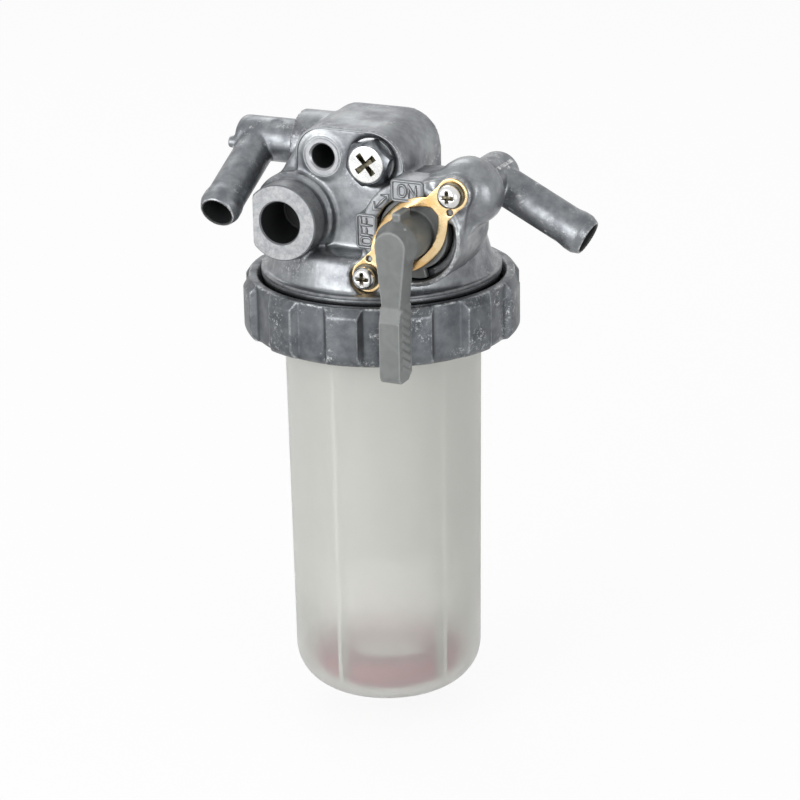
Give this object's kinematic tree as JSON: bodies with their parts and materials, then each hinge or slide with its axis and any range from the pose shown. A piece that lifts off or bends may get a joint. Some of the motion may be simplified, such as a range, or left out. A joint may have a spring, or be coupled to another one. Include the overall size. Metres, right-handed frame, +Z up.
{
  "type": "fuel water separator with shut-off cock",
  "caption": "Water separator for a fuel line: cast head with a turning cock and two hose elbows over a clear screw-ringed bowl with a filter element and a float ring.",
  "frame": {"origin": "centre of the bowl's flat bottom, on the bowl's axis", "axes": "+Z up along the bowl's axis, -Y out of the face with the cock and the ports, +X towards the outlet elbow"},
  "size_m": [0.1093, 0.0838, 0.1745],
  "materials": {
    "head": "as cast",
    "inlet_elbow": "as cast, tumbled",
    "outlet_elbow": "as cast, tumbled",
    "ring_nut": "as cast, tumbled",
    "bowl": "frosted, see-through",
    "bowl_seal": "moulded",
    "float_ring": "moulded",
    "element_top_cap": "moulded",
    "element_bottom_cap": "moulded",
    "element_media": "pleated paper",
    "element_core": "moulded",
    "element_grommet": "moulded",
    "cock_lever": "moulded",
    "lever_seal": "moulded",
    "cock_packing": "moulded",
    "spring_plate": "yellow zinc plated",
    "plate_screws": "zinc plated",
    "plate_washers": "zinc plated",
    "bleed_screw": "zinc plated",
    "bleed_washer": "turned"
  },
  "bodies": {
    "head": {"head": "head", "inlet_elbow": "inlet_elbow", "outlet_elbow": "outlet_elbow", "spring_plate": "spring_plate", "plate_screws": "plate_screws", "plate_washers": "plate_washers", "cock_packing": "cock_packing", "element_top_cap": "element_top_cap", "element_bottom_cap": "element_bottom_cap", "element_media": "element_media", "element_core": "element_core", "element_grommet": "element_grommet"},
    "cock": {"cock_lever": "cock_lever", "lever_seal": "lever_seal"},
    "bowl": {"bowl": "bowl", "bowl_seal": "bowl_seal"},
    "nut": {"ring_nut": "ring_nut"},
    "float": {"float_ring": "float_ring"},
    "bleed_seal": {"bleed_washer": "bleed_washer"},
    "bleed_screw": {"bleed_screw": "bleed_screw"}
  },
  "joints": [
    {"name": "cock_turn", "type": "hinge", "parent": "head", "child": "cock", "pos_m": [0.0224, -0.029, 0.1473], "axis": [0, -1, 0], "range_deg": [0, 90]},
    {"name": "bowl_drop", "type": "slide", "parent": "head", "child": "bowl", "axis": [0, 0, -1], "range_m": [0, 0.0075]},
    {"name": "nut_turn", "type": "hinge", "parent": "bowl", "child": "nut", "pos_m": [0, 0, 0.11825], "axis": [0, 0, -1], "range_deg": [0, 1080]},
    {"name": "float_rise", "type": "slide", "parent": "bowl", "child": "float", "axis": [0, 0, 1], "range_m": [0, 0.03]},
    {"name": "bleed_out", "type": "slide", "parent": "head", "child": "bleed_seal", "axis": [0, -1, 0], "range_m": [0, 0.0025]},
    {"name": "bleed_turn", "type": "hinge", "parent": "bleed_seal", "child": "bleed_screw", "pos_m": [0.0075, -0.021, 0.1648], "axis": [0, -1, 0], "range_deg": [0, 720]}
  ],
  "couplings": [
    {"joint": "nut_turn", "follows": "bowl_drop", "rad_per_m": 2513.3},
    {"joint": "bleed_turn", "follows": "bleed_out", "rad_per_m": 5026.5}
  ]
}
